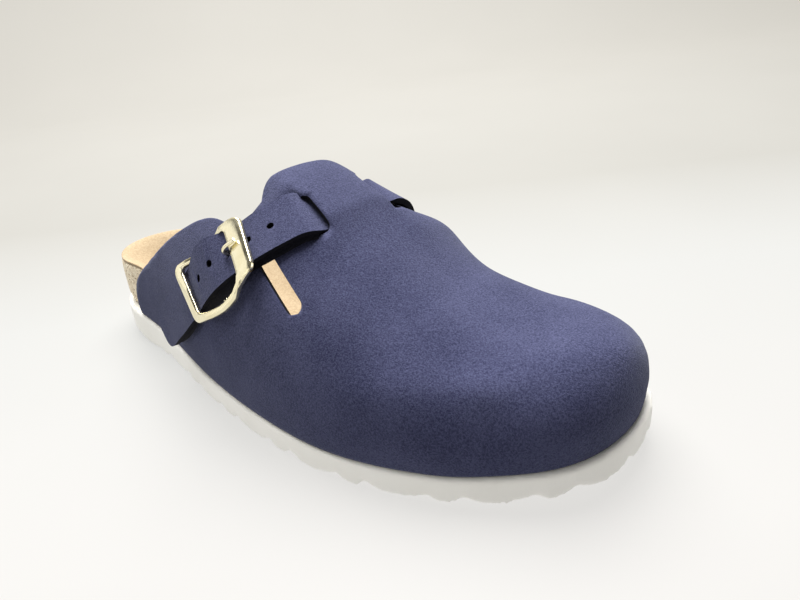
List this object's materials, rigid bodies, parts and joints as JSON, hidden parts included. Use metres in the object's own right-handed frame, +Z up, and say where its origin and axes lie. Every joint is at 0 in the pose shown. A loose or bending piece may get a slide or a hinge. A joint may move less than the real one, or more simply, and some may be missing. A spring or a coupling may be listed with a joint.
{
  "type": "clog",
  "caption": "Closed-toe clog for the right foot with an open heel, cork footbed, moulded sole, one-piece nubuck upper and a strap with a buckle over the instep.",
  "frame": {"origin": "middle of the shoe's length and width, on the floor plane that the sole stands on", "axes": "+Z up, +Y towards the heel, so the toe points to -Y, +X towards the inner side of the foot, so the buckle is on -X"},
  "size_m": [0.0974, 0.2684, 0.0922],
  "materials": {
    "white_foam": "matte moulded foam",
    "cork": "bare ground cork",
    "beige_suede": "suede lining",
    "navy_nubuck": "fine nap, no gloss",
    "strap_nubuck": "fine nap with dark cut edges",
    "pale_gold": "polished pale gold plating"
  },
  "bodies": {
    "root": {"outsole": "white_foam", "footbed": "cork", "insole": "beige_suede", "upper": "navy_nubuck", "strap": "strap_nubuck", "buckle": "pale_gold", "buckle_bar": "pale_gold", "buckle_prong": "pale_gold"}
  },
  "joints": []
}
